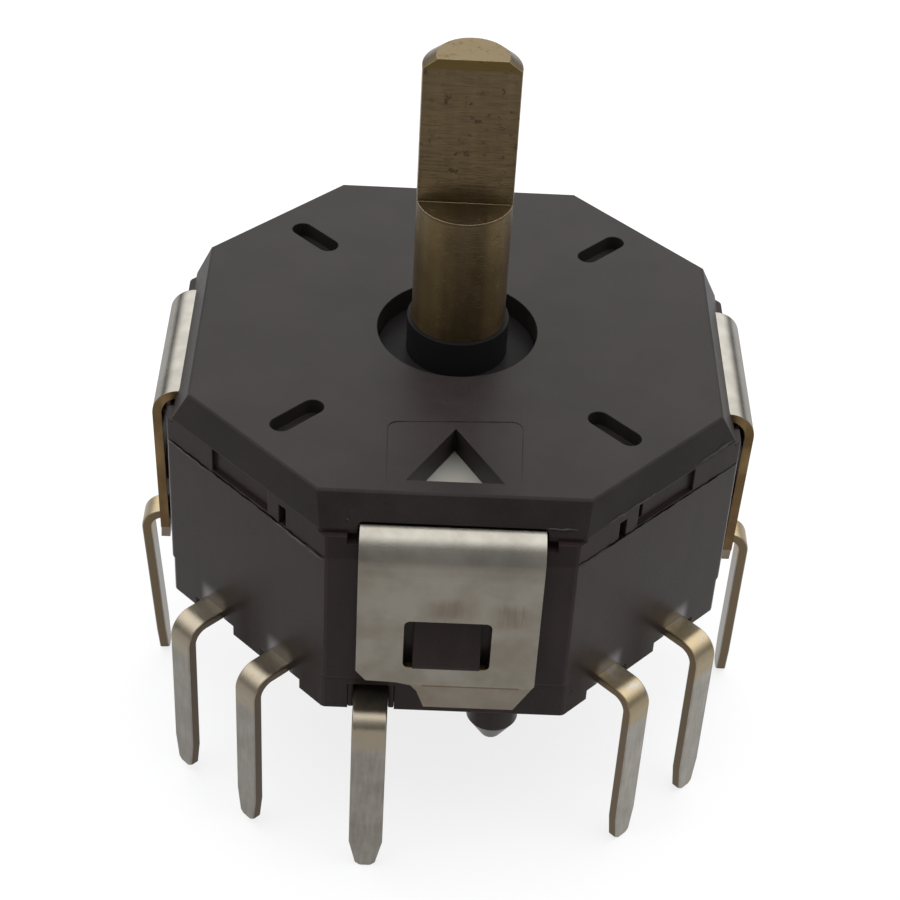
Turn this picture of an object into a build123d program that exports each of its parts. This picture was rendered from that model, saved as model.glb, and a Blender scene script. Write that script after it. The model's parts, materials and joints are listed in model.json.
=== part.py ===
from build123d import *

import os
from math import asin, atan2, cos, degrees, radians, sin, sqrt, tan

# Rotary encoder with an octagonal snap-together housing for board mounting.
#
# Frame: millimetres, +Z along the shaft towards the knob, -Y towards the index arrow.
# The origin is on the shaft axis, in the plane where the base seats on the circuit board.
#
# A piece on one of the eight sides is drawn once with the side's outward normal along +X
# ("out"), +Y along the side ("along") and +Z up, and is then turned about Z to its side.

os.makedirs("parts", exist_ok=True)

# Sides, as the angle of the outward normal
FRONT, RIGHT, BACK, LEFT = -90, 0, 90, 180
FRONT_RIGHT, BACK_RIGHT, BACK_LEFT, FRONT_LEFT = -45, 45, 135, -135
CARDINAL_SIDES = {"front": FRONT, "right": RIGHT, "back": BACK, "left": LEFT}
DIAGONAL_SIDES = {
    "front_right": FRONT_RIGHT,
    "back_right": BACK_RIGHT,
    "back_left": BACK_LEFT,
    "front_left": FRONT_LEFT,
}

# Housing
body_half = 12.0  # half the width across the flats
body_height = 11.2
parting_z = 8.48  # where the cover sits on the base
edge_break = 0.08  # chamfer on the upright corners

# Base
skirt_z = 1.85  # below this the four main sides are set back a little
skirt_setback = 0.08
floor_z = 2.2
cavity_radius = 8.15
register_inner, register_outer = 9.2, 10.3  # ring that centres the cover and carries the plate
bearing_radius = 1.55
bearing_bottom = 0.4
catch_width = 2.74
catch_proud = 0.7
catch_top, catch_bottom = 6.0, 3.22
peg_radius, peg_tip_radius = 1.1, 0.45
peg_length, peg_straight = 2.3, 1.2
peg_out, peg_along = 10.7, 2.15

# Cover
ledge_z = 9.6
rim_half = body_half - 0.28  # the main sides step in above the ledge
band_z = 9.8  # the sloping band runs from here to the top face
top_half_cardinal, top_half_diagonal = 11.0, 11.61
cover_bore = 10.35
collar_radius, collar_bottom = 5.2, 8.45
hub_hole = 3.45
pocket_radius, pocket_length, pocket_width, pocket_depth = 9.15, 2.65, 0.95, 0.7
arrow_apex, arrow_base, arrow_half = 6.88, 10.25, 1.95
vent_width, vent_along, vent_depth, vent_top = 0.42, 2.35, 0.8, 9.45
recess_from, recess_to = -1.45, 2.0  # along the front right side, mirrored on the next
recess_bottom, recess_top, recess_depth = 8.62, 9.76, 0.16
gate_width, gate_bottom, gate_depth = 0.42, 8.85, 0.6  # deeper mark at the end of one recess

# Retainer plate
sheet = 0.4
plate_top = 10.0
plate_radius, plate_hole = 9.6, 5.3
leg_half = 3.68
leg_face = 12.78  # outer face of the hanging legs
leg_bend = 1.0  # mid-thickness bend radius
leg_lean = 0.15  # how far a leg leans in by the time it reaches the crease
window_half, window_top, window_round = 1.77, 5.87, 0.26
short_side_z, corner_z, tab_bottom_z, crease_z = 2.32, 2.92, 1.08, 2.2
tab_flare = 6  # degrees outward below the crease
slot_clearance, opening_round = 0.08, 0.2  # opening in the cover that a leg comes out of
notch_half, notch_depth = 4.15, 0.35  # notch in the ledge on both sides of a leg

# Terminals
strip = 0.45
run_z = 0.725  # mid-thickness height of the horizontal run
terminal_inner = 7.125  # mid-thickness of the leg that rises to the floor
pin_width, front_pin_width = 1.25, 1.45
pin_pitch_half = 2.15
front_pin_offset = 3.03
diagonal_reach, front_reach, side_reach = 13.75, 13.45, 13.72
side_offset = 0.4  # the side pins stand this far towards the front
left_lean, right_lean = 0.58, 0.05
tip_z, front_left_tip_z = -8.05, -7.75
outer_bend, front_bend = 0.8, 0.55
tip_half, tip_taper, tip_chamfer = 0.42, 1.5, 0.2
relief_width, relief_depth = 2.5, 1.2
front_relief_left, front_relief_right = -4.0, -2.05
front_relief_top, front_relief_depth = 1.4, 0.5

# Shaft
shaft_radius = 2.0
neck_radius, neck_top = 1.8, 11.5  # inside the rotor
shaft_top = 24.4
shaft_shoulder = 2.25
journal_radius, journal_bottom = 1.5, 0.5
end_chamfer_axial, end_chamfer_radial = 0.45, 0.55
flat_y = -0.37
flat_from = 17.8
key_half, key_bottom, key_top = 1.5, 3.0, 7.0

# Rotor and detent
detents = 24
step = 360 / detents
hub_radius = 2.8
star_radius, star_bottom, star_top = 7.9, 4.35, 7.2
valley_half_angle = 55
shoulder_radius, shoulder_top = 5.0, 8.42
boss_radius, boss_top = 3.40, 10.2
sleeve_radius, sleeve_top = 2.18, 11.9  # thin sleeve moulded up the foot of the shaft
ball_radius, ball_circle = 1.0, 8.5
running_gap = 0.05
channel_end = 11.25
detent_z = (star_bottom + star_top) / 2
spring_radius, spring_wire, spring_turns = 0.68, 0.11, 3.5
spring_sides = 8  # straight pieces in one turn

# Contacts
code_thickness = 0.15
code_pitch = 2 * step
common_inner, common_outer = 3.3, 4.3
track_a_inner, track_a_outer = 4.2, 5.5
track_b_inner, track_b_outer = 5.6, 6.8
link_inner, link_outer = 5.4, 5.7
wiper_thickness, wiper_width = 0.15, 0.8
wiper_pad_inner, wiper_pad_outer = 6.4, 7.8
contact_gap = 0.05
common_reach, track_a_reach, track_b_reach = 3.8, 4.5, 5.8


def prism(outline, bottom, top):
    """Stand a flat outline up between two heights."""
    return extrude(Plane.XY.offset(bottom) * outline, top - bottom)


def octagon(cardinal_half, diagonal_half):
    """Octagon with its own half width on the main sides and on the corner sides."""
    square = Rectangle(2 * cardinal_half, 2 * cardinal_half)
    turned = Rectangle(2 * diagonal_half, 2 * diagonal_half, rotation=45)
    return square & turned


def side_box(side, out, along, height):
    """Box on a side, from three (low, high) pairs: outward, along the side and up."""
    size = [high - low for low, high in (out, along, height)]
    middle = [(high + low) / 2 for low, high in (out, along, height)]
    return Rot(0, 0, side) * Pos(*middle) * Box(*size)


def bent_strip(points, width, thickness, bends=None):
    """Flat strip that follows (out, up) points with sharp or rounded bends, centred on along = 0."""
    places = [(out, 0, up) for out, up in points]
    path = FilletPolyline(*places, radius=bends) if bends else Polyline(*places)
    section = Plane(origin=path @ 0, x_dir=(0, 1, 0), z_dir=path % 0) * Rectangle(width, thickness)
    return sweep(section, path=path, transition=Transition.RIGHT)


def eased_block(outline, bottom, top):
    """Prism with its upright edges broken."""
    block = prism(outline, bottom, top)
    return chamfer(block.edges().filter_by(Axis.Z), edge_break)


# Terminals ------------------------------------------------------------------------------


def terminal_leg(start, reach, lean, tip, width, bend):
    """Run under the base and pin down through the board, narrowed to a blunt tip."""
    points = [(start, run_z), (reach, run_z), (reach - lean, tip)]
    leg = bent_strip(points, width, strip, [bend])
    outline = Polygon(
        (-width / 2, floor_z),
        (-width / 2, tip + tip_taper),
        (-tip_half, tip),
        (tip_half, tip),
        (width / 2, tip + tip_taper),
        (width / 2, floor_z),
        align=None,
    )
    outline = chamfer(outline.vertices().group_by(Axis.Y)[0], tip_chamfer)
    return leg & extrude(Plane.YZ * outline, reach + 1)


def terminal_riser(far):
    """Angle inside the base: up to the floor, and outwards under it as far as the run."""
    inner = terminal_inner - strip / 2
    bottom, top = run_z - strip / 2, run_z + strip / 2
    riser = side_box(0, (inner, inner + strip), (-pin_width / 2, pin_width / 2), (bottom, floor_z))
    return riser + side_box(0, (inner, far), (-pin_width / 2, pin_width / 2), (bottom, top))


def straight_terminal(offset, reach, lean, tip):
    """Terminal of one width: riser to the floor, run under it and pin."""
    leg = terminal_leg(terminal_inner, reach, lean, tip, pin_width, outer_bend)
    return Pos(0, offset, 0) * (terminal_riser(terminal_inner + strip) + leg)


def cranked_terminal():
    """Terminal whose run is cranked sideways from the middle of the side to an offset pin."""
    crank_in, crank_out = 8.4, 11.0
    leg = terminal_leg(crank_out, front_reach, 0, tip_z, front_pin_width, front_bend)
    crank = Polygon(
        (crank_in, -pin_width / 2),
        (crank_out, -front_pin_offset - front_pin_width / 2),
        (crank_out, -front_pin_offset + front_pin_width / 2),
        (crank_in, pin_width / 2),
        align=None,
    )
    cranked = prism(crank, run_z - strip / 2, run_z + strip / 2)
    return terminal_riser(crank_in) + cranked + Pos(0, -front_pin_offset, 0) * leg


def make_terminals():
    """All twelve terminals, by name."""
    right_pin = straight_terminal(-side_offset, side_reach, right_lean, tip_z)
    left_pin = straight_terminal(side_offset, side_reach, left_lean, tip_z)
    found = {
        "terminal_front": Rot(0, 0, FRONT) * cranked_terminal(),
        "terminal_back": Rot(0, 0, BACK) * cranked_terminal(),
        "terminal_right": Rot(0, 0, RIGHT) * right_pin,
        "terminal_left": Rot(0, 0, LEFT) * left_pin,
    }
    for name, side in DIAGONAL_SIDES.items():
        tip = front_left_tip_z if side == FRONT_LEFT else tip_z
        for track, sign in (("a", 1), ("b", -1)):
            pin = straight_terminal(sign * pin_pitch_half, diagonal_reach, 0, tip)
            found[f"terminal_{name}_{track}"] = Rot(0, 0, side) * pin
    return found


# Base -----------------------------------------------------------------------------------


def catch():
    """Snap catch: a ramp that rises out of the wall downwards and ends in a flat underside."""
    root = body_half - 0.3
    ramp = Polygon(
        (root, catch_bottom),
        (body_half + catch_proud, catch_bottom),
        (body_half + catch_proud, catch_bottom + 0.15),
        (body_half, catch_top),
        (root, catch_top),
        align=None,
    )
    return extrude(Plane.XZ * ramp, catch_width / 2, both=True)


def locating_peg():
    """Board locating peg with a tapered point."""
    outline = Polyline(
        (0, 0.5),
        (peg_radius, 0.5),
        (peg_radius, -peg_straight),
        (peg_tip_radius, -peg_length),
        (0, -peg_length),
        close=True,
    )
    return revolve(Plane.XZ * make_face(outline), Axis.Z)


def detent_channel(side):
    """Radial bore that guides a detent ball and its spring."""
    start = cavity_radius - 1
    bore = Plane.YZ.offset(start) * Circle(ball_radius + running_gap)
    return Rot(0, 0, side) * Pos(0, 0, detent_z) * extrude(bore, channel_end - start)


def make_base(terminals):
    """Moulded base: cup for the rotor, with the terminals moulded in."""
    base = eased_block(octagon(body_half - skirt_setback, body_half), 0, skirt_z)
    base += eased_block(octagon(body_half, body_half), skirt_z, parting_z)
    register_top = plate_top - sheet
    base += prism(Circle(register_outer), parting_z, register_top)
    base -= prism(Circle(cavity_radius), floor_z, parting_z)
    base -= prism(Circle(register_inner), parting_z, register_top)
    base -= prism(Circle(bearing_radius), bearing_bottom, floor_z)
    for side in CARDINAL_SIDES.values():
        base += Rot(0, 0, side) * catch()
    for side in (FRONT, BACK):
        base += Rot(0, 0, side) * Pos(peg_out, peg_along, 0) * locating_peg()
        out = (body_half - front_relief_depth, body_half + 1)
        base -= side_box(side, out, (front_relief_left, front_relief_right), (-1, front_relief_top))
    relief_top = run_z - strip / 2
    for side in DIAGONAL_SIDES.values():
        for middle in (-pin_pitch_half, pin_pitch_half):
            along = (middle - relief_width / 2, middle + relief_width / 2)
            out = (body_half - relief_depth, body_half + 1)
            base -= side_box(side, out, along, (-1, relief_top))
    for side in (FRONT_RIGHT, BACK_LEFT):
        base -= detent_channel(side)
    for pin in terminals.values():
        base -= pin
    return base


# Cover ----------------------------------------------------------------------------------


def cover_shell():
    """Outside of the cover: lower wall, set-in rim above the ledge and sloping band."""
    shell = eased_block(octagon(body_half, body_half), parting_z, ledge_z)
    shell += eased_block(octagon(rim_half, body_half), ledge_z, band_z)
    band = loft(
        [
            Plane.XY.offset(band_z) * octagon(rim_half, body_half),
            Plane.XY.offset(body_height) * octagon(top_half_cardinal, top_half_diagonal),
        ],
        ruled=True,
    )
    return shell + chamfer(band.faces().sort_by(Axis.Z)[-1].edges(), edge_break)


def diagonal_wall_cuts(side):
    """Narrow vent slot and shallow recess in a corner side's wall, mirrored from side to side."""
    hand = 1 if side in (FRONT_RIGHT, BACK_LEFT) else -1
    wall = body_half + 1
    vent = -hand * vent_along
    slot = (vent - vent_width / 2, vent + vent_width / 2)
    cuts = side_box(side, (body_half - vent_depth, wall), slot, (parting_z - 1, vent_top))
    recess = sorted((hand * recess_from, hand * recess_to))
    return cuts + side_box(side, (body_half - recess_depth, wall), recess, (recess_bottom, recess_top))


def leg_opening(side):
    """Opening in the rim that a leg comes out of, with its top corners rounded."""
    half = leg_half + slot_clearance
    height = (plate_top - sheet, plate_top + slot_clearance)
    opening = side_box(0, (rim_half - 0.4, body_half + 1), (-half, half), height)
    corners = opening.edges().filter_by(Axis.X).group_by(Axis.Z)[-1]
    return Rot(0, 0, side) * fillet(corners, opening_round)


def index_arrow():
    """Triangular window that points at the shaft."""
    return Polygon(
        (0, -arrow_apex), (-arrow_half, -arrow_base), (arrow_half, -arrow_base), align=None
    )


def make_cover():
    """Moulded cover with room for the retainer plate in its underside."""
    plate_bottom = plate_top - sheet
    cover = cover_shell()
    cover -= prism(Circle(cover_bore), parting_z - 1, plate_bottom)
    cover -= prism(Circle(plate_radius), plate_bottom, plate_top)
    cover += prism(Circle(collar_radius), collar_bottom, plate_top)
    cover -= prism(Circle(hub_hole), collar_bottom - 1, body_height + 1)
    for side in CARDINAL_SIDES.values():
        strip_room = (-leg_half, leg_half)
        notch = (-notch_half, notch_half)
        far = body_half + 1
        cover -= side_box(side, (plate_radius - 0.6, far), strip_room, (plate_bottom, plate_top))
        cover -= leg_opening(side)
        cover -= side_box(side, (rim_half - 0.17, far), notch, (ledge_z - notch_depth, ledge_z))
    for side in DIAGONAL_SIDES.values():
        cover -= diagonal_wall_cuts(side)
    gate = (recess_from, recess_from + gate_width)
    out = (body_half - gate_depth, body_half + 1)
    cover -= side_box(FRONT_RIGHT, out, gate, (gate_bottom, recess_top))
    for place in PolarLocations(pocket_radius, 4, 45):
        pocket = SlotOverall(pocket_length, pocket_width)
        cover -= prism(place * pocket, body_height - pocket_depth, body_height + 1)
    cover -= prism(index_arrow(), plate_top, body_height + 1)
    return cover


# Retainer plate -------------------------------------------------------------------------


def leg_outline():
    """Front view of a hanging leg: a short side, then a notch down to a bent tab."""
    points = [
        (-leg_half, body_height),
        (-leg_half, corner_z),
        (-3.26, short_side_z + 0.05),
        (-2.02, short_side_z),
        (-1.42, crease_z - 0.02),
        (-1.16, 1.89),
        (-0.85, tab_bottom_z),
        (2.86, tab_bottom_z),
        (leg_half, short_side_z + 0.04),
        (leg_half, body_height),
    ]
    return Polygon(*points, align=None)


def retainer_leg():
    """Spring leg: flange out of the plate, bend, window for the catch and flared tab."""
    middle = leg_face - sheet / 2
    drop = crease_z - tab_bottom_z + 0.2
    points = [
        (plate_radius - 0.6, plate_top - sheet / 2),
        (middle, plate_top - sheet / 2),
        (middle - leg_lean, crease_z),
        (middle - leg_lean + drop * tan(radians(tab_flare)), crease_z - drop),
    ]
    leg = bent_strip(points, 2 * leg_half, sheet, [leg_bend, 0.2])
    outline = extrude(Plane.YZ.offset(plate_radius - 1) * leg_outline(), 6)
    height = window_top - catch_bottom
    window = Pos(0, catch_bottom + height / 2) * RectangleRounded(
        2 * window_half, height, window_round
    )
    return (leg & outline) - extrude(Plane.YZ.offset(body_half) * window, 2)


def make_retainer():
    """Cross-shaped stamping that clamps the cover to the base on four spring legs."""
    plate = Circle(plate_radius) - Circle(plate_hole)
    retainer = prism(plate, plate_top - sheet, plate_top)
    for side in (FRONT, BACK, LEFT):
        retainer += Rot(0, 0, side) * retainer_leg()
    return retainer + mirror(retainer_leg(), about=Plane.XZ)


# Shaft and rotor ------------------------------------------------------------------------


def make_shaft():
    """Turned shaft with a journal, a key for the rotor and a flat for the knob."""
    journal = prism(Circle(journal_radius), journal_bottom, shaft_shoulder)
    neck = prism(Circle(neck_radius), shaft_shoulder, neck_top)
    shank = prism(Circle(shaft_radius), neck_top, shaft_top)
    end = shank.edges().group_by(Axis.Z)[-1]
    shank = chamfer(end, end_chamfer_axial, end_chamfer_radial)
    key_height = key_top - key_bottom
    for side in (-1, 1):
        keyway = Pos(0, side * (key_half + 1), (key_bottom + key_top) / 2)
        neck -= keyway * Box(2 * shaft_radius, 2, key_height)
    flat_height = shaft_top - flat_from + 1
    flat = Pos(0, flat_y - shaft_radius, flat_from + flat_height / 2)
    shank -= flat * Box(3 * shaft_radius, 2 * shaft_radius, flat_height)
    return journal + neck + shank


def detent_star():
    """Star outline with a flat-sided valley at every detent, cut to fit the ball."""
    flank = radians(valley_half_angle)
    root = ball_circle - (ball_radius + running_gap) / sin(flank)
    # where a flank from the root meets the crest circle, by the sine rule
    crest = degrees(flank - asin(root * sin(flank) / star_radius))
    points = []
    for index in range(detents):
        for radius, turn in ((root, 0), (star_radius, crest), (star_radius, step - crest)):
            angle = radians(index * step + turn)
            points.append((radius * cos(angle), radius * sin(angle)))
    return Polygon(*points, align=None)


def make_rotor(shaft):
    """Moulded rotor: hub, detent star, boss and thin sleeve, moulded on to the shaft."""
    profile = Polyline(
        (0, shaft_shoulder),
        (hub_radius, shaft_shoulder),
        (hub_radius, star_bottom),
        (shoulder_radius, star_bottom),
        (shoulder_radius, shoulder_top),
        (boss_radius, shoulder_top),
        (boss_radius, boss_top),
        (sleeve_radius, boss_top),
        (sleeve_radius, sleeve_top),
        (0, sleeve_top),
        close=True,
    )
    rotor = revolve(Plane.XZ * make_face(profile), Axis.Z)
    rotor += prism(detent_star(), star_bottom, star_top)
    return rotor - shaft


def ring(inner, outer):
    """Flat ring with straight-sided edges, a side to each half of a code period."""
    return RegularPolygon(outer, 2 * detents) - RegularPolygon(inner, 2 * detents)


def sector(inner, outer, middle, width):
    """Straight-sided ring sector about the angle middle, in degrees."""
    corners = []
    for radius, side in ((inner, -1), (outer, -1), (outer, 1), (inner, 1)):
        angle = radians(middle + side * width / 2)
        corners.append((radius * cos(angle), radius * sin(angle)))
    return Polygon(*corners, align=None)


def wiper_angle(reach, offset):
    """Angle of a wiper's tip from its side's outward normal, in degrees."""
    return degrees(atan2(offset, reach))


def make_code_pattern():
    """Contact plate under the rotor: common ring and two tracks a quarter period apart."""
    quarter = code_pitch / 4
    shift = wiper_angle(track_b_reach, -pin_pitch_half) - wiper_angle(track_a_reach, pin_pitch_half)
    pattern = ring(common_inner, common_outer) + ring(link_inner, link_outer)
    for index in range(detents // 2):
        turn = index * code_pitch
        pattern += sector(track_a_inner, track_a_outer, turn, code_pitch / 2)
        pattern += sector(track_b_inner, track_b_outer, turn + shift + quarter, code_pitch / 2)
    return prism(pattern, star_bottom - code_thickness, star_bottom)


# Wipers ---------------------------------------------------------------------------------


def wiper(offset, reach):
    """Contact spring: welded pad, rising finger and a rounded tip that bears on a track."""
    half = wiper_thickness / 2
    low = floor_z + half
    high = star_bottom - code_thickness - contact_gap - half
    points = [
        (wiper_pad_inner + 0.2, low),
        (wiper_pad_inner, low),
        (reach, high),
        (reach - 0.35, high - 0.3),
    ]
    finger = bent_strip(points, wiper_width, wiper_thickness)
    pad_length = wiper_pad_outer - wiper_pad_inner - 0.2
    pad_middle = (wiper_pad_inner + 0.2 + wiper_pad_outer) / 2
    pad = Pos(pad_middle, 0, low) * Box(pad_length, pin_width, wiper_thickness)
    return Pos(0, offset, 0) * (finger + pad)


def make_wipers():
    """All twelve wipers, by name."""
    found = {}
    offsets = {"front": 0, "right": -side_offset, "back": 0, "left": side_offset}
    for name, side in CARDINAL_SIDES.items():
        found[f"wiper_{name}"] = Rot(0, 0, side) * wiper(offsets[name], common_reach)
    for name, side in DIAGONAL_SIDES.items():
        track_a = wiper(pin_pitch_half, track_a_reach)
        track_b = wiper(-pin_pitch_half, track_b_reach)
        found[f"wiper_{name}_a"] = Rot(0, 0, side) * track_a
        found[f"wiper_{name}_b"] = Rot(0, 0, side) * track_b
    return found


# Detent ---------------------------------------------------------------------------------


def detent_ball(side):
    """Ball that drops into a valley of the detent star."""
    return Rot(0, 0, side) * Pos(ball_circle, 0, detent_z) * Sphere(ball_radius)


def detent_spring(side):
    """Coil spring between the ball and the end of its channel, as a chain of straight pieces."""
    seat = sqrt((ball_radius + spring_wire) ** 2 - spring_radius**2)
    start = ball_circle + seat + 0.005
    length = channel_end - spring_wire - start
    pieces = int(spring_turns * spring_sides)
    points = []
    for index in range(pieces + 1):
        angle = radians(index * 360 / spring_sides)
        out = start + index * length / pieces
        points.append((out, spring_radius * cos(angle), detent_z + spring_radius * sin(angle)))
    path = Polyline(*points)
    section = Plane(origin=path @ 0, z_dir=path % 0) * RegularPolygon(spring_wire, 4)
    return Rot(0, 0, side) * sweep(section, path=path, transition=Transition.RIGHT)


# Output ---------------------------------------------------------------------------------


def main():
    terminals = make_terminals()
    shaft = make_shaft()
    nodes = {
        "base": make_base(terminals),
        "cover": make_cover(),
        "retainer_plate": make_retainer(),
        "shaft": shaft,
        "rotor": make_rotor(shaft),
        "code_pattern": make_code_pattern(),
        "detent_ball_front": detent_ball(FRONT_RIGHT),
        "detent_ball_back": detent_ball(BACK_LEFT),
        "detent_spring_front": detent_spring(FRONT_RIGHT),
        "detent_spring_back": detent_spring(BACK_LEFT),
    }
    nodes.update(terminals)
    nodes.update(make_wipers())
    for name, solid in nodes.items():
        export_step(solid, f"parts/{name}.step")
        print(name, round(solid.volume, 3))


main()
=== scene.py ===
import json
from collections import namedtuple
from math import cos, radians, sin, sqrt

import bpy
import numpy as np
from mathutils import Matrix, Vector


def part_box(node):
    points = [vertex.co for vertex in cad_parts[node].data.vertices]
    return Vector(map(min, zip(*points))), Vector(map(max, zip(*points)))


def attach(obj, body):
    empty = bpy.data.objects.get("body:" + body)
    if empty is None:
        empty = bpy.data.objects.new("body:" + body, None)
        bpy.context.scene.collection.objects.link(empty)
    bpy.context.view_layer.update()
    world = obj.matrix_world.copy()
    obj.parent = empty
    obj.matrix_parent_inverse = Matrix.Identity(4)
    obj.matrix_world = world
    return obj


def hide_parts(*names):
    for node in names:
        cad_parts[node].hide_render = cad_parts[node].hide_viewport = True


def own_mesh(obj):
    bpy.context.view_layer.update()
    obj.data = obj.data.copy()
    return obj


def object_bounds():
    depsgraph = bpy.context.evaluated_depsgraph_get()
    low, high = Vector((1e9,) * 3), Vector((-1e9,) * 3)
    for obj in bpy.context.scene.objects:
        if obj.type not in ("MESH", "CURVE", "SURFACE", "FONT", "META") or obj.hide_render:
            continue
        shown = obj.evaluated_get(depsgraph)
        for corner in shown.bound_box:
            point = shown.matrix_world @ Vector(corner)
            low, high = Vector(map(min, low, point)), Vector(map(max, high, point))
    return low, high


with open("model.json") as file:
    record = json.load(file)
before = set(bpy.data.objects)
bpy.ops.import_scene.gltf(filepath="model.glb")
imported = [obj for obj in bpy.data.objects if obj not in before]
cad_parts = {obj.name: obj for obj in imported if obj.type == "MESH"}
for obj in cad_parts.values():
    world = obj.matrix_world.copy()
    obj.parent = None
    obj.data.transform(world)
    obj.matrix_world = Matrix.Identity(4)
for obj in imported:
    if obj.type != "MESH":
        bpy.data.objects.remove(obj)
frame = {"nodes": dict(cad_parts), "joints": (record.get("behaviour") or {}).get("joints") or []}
cad_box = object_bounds()

bl_info = {
    "name": "Rotary encoder",
    "version": (1, 0, 0),
    "blender": (4, 5, 0),
    "location": "View3D > Sidebar > Encoder",
    "description": "Finishes and stage for an octagonal board-mount rotary encoder",
    "category": "Object",
}

MM = 0.001
NODES = frame["nodes"]
WIPERS = sorted(name for name in NODES if name.startswith("wiper_"))
SIDES = {
    "front": -90,
    "right": 0,
    "back": 90,
    "left": 180,
    "front_right": -45,
    "back_right": 45,
    "back_left": 135,
    "front_left": -135,
}  # angle of each side's outward normal in degrees

# Heights and a distance out that the finishes follow, in millimetres
BAND_UP = 9.8  # where the cover's wall meets its sloping band
CREASE_UP = 2.2  # crease above the tab of a retainer leg
LEG_OUT = 12.35  # the outer faces of the retainer's legs are further out than this
FLAT_UP = 17.8  # foot of the shaft's flat
END_UP = 24.0  # the shaft's end and most of its chamfer are above this

# Terminals, in millimetres; a pin's tone scale lightens or darkens its tin as painted light, and
# gilt, 0 to 1, yellows its bends
STRIP = 0.45  # thickness of the strip
PIN_WIDTH = 1.25
PIN_PITCH = 4.3  # between the two pins of a corner side
PIN_TIP = cad_box[0][2] / MM  # as low as the CAD goes
RISER_OUT, RISER_TOP = 7.125, 2.2  # middle of the leg that rises to the base's floor
RUN_UP = 0.725  # middle of the run under the base
CRANK = (8.4, 11.0)  # distances out between which a cranked run moves aside
Pin = namedtuple("Pin", "side along reach lean tip width bend cranked shine gilt")

# Threads of flash, burr and painted joint shadow, in millimetres: finish and side, the stretch
# along the side, distance out, height at both ends, and size
Thread = namedtuple("Thread", "finish side start stop out low high size")
THREADS = {
    "flash_front_left_rear": Thread("pale", "front_left", -4.9, -2.3, 12.0, 8.47, 8.36, 0.075),
    "flash_front_left_fore": Thread("pale", "front_left", 1.6, 4.8, 12.0, 8.40, 8.24, 0.08),
    "burr_front_right_fore": Thread("dull", "front_right", -3.4, -0.5, 11.97, 9.82, 9.82, 0.11),
    "burr_front_right_rear": Thread("dull", "front_right", 1.9, 4.4, 11.95, 9.85, 9.95, 0.11),
    "burr_front_rim": Thread("dull", "front", 3.7, 4.9, 11.56, 10.12, 10.1, 0.06),
    "burr_front_nick": Thread("dull", "front", -4.2, -4.05, 11.54, 10.2, 10.05, 0.05),
    # The dark threads paint the shadow in the gap at the joint.
    "shadow_line_front_left": Thread("dark", "front_left", -4.9, 4.9, 12.0, 8.53, 8.42, 0.045),
    "shadow_line_front_right": Thread("dark", "front_right", -4.9, 4.9, 12.0, 8.58, 8.46, 0.045),
    "shadow_line_back_left": Thread("dark", "back_left", -4.9, 4.9, 12.0, 8.48, 8.48, 0.035),
    "shadow_line_back_right": Thread("dark", "back_right", -4.9, 4.9, 12.0, 8.48, 8.48, 0.035),
}

# Ribs beside the front terminal, in millimetres: place along the front
RIBS = {"rib_left": -3.88, "rib_right": -2.18}
RIB_OUT, RIB_FOOT, RIB_HALF = 11.62, 0.02, (0.28, 0.125)  # middle, foot's height, half sizes


# Shader expressions -----------------------------------------------------------------------


class Field:
    """A shader value that takes part in Python arithmetic by adding Math nodes."""

    def __init__(self, graph, socket):
        self.graph = graph
        self.socket = socket

    def _math(self, operation, *values):
        inputs = dict(enumerate(values))
        return self.graph.node("ShaderNodeMath", {"operation": operation}, inputs)

    def __add__(self, other):
        return self._math("ADD", self, other)

    __radd__ = __add__

    def __sub__(self, other):
        return self._math("SUBTRACT", self, other)

    def __rsub__(self, other):
        return self._math("SUBTRACT", other, self)

    def __mul__(self, other):
        return self._math("MULTIPLY", self, other)

    __rmul__ = __mul__

    def __abs__(self):
        return self._math("ABSOLUTE", self)

    def high(self, other):
        """The larger of two values."""
        return self._math("MAXIMUM", self, other)

    def step(self, start, end):
        """Smooth step from 0 at start to 1 at end; start may be the larger."""
        return self.graph.node(
            "ShaderNodeMapRange",
            {"interpolation_type": "SMOOTHSTEP"},
            {"Value": self, "From Min": start, "From Max": end},
        )

    def between(self, start, end, soft):
        """1 between start and end, falling to 0 over the distance soft outside them."""
        return self.step(start - soft, start) * self.step(end + soft, end)


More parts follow.
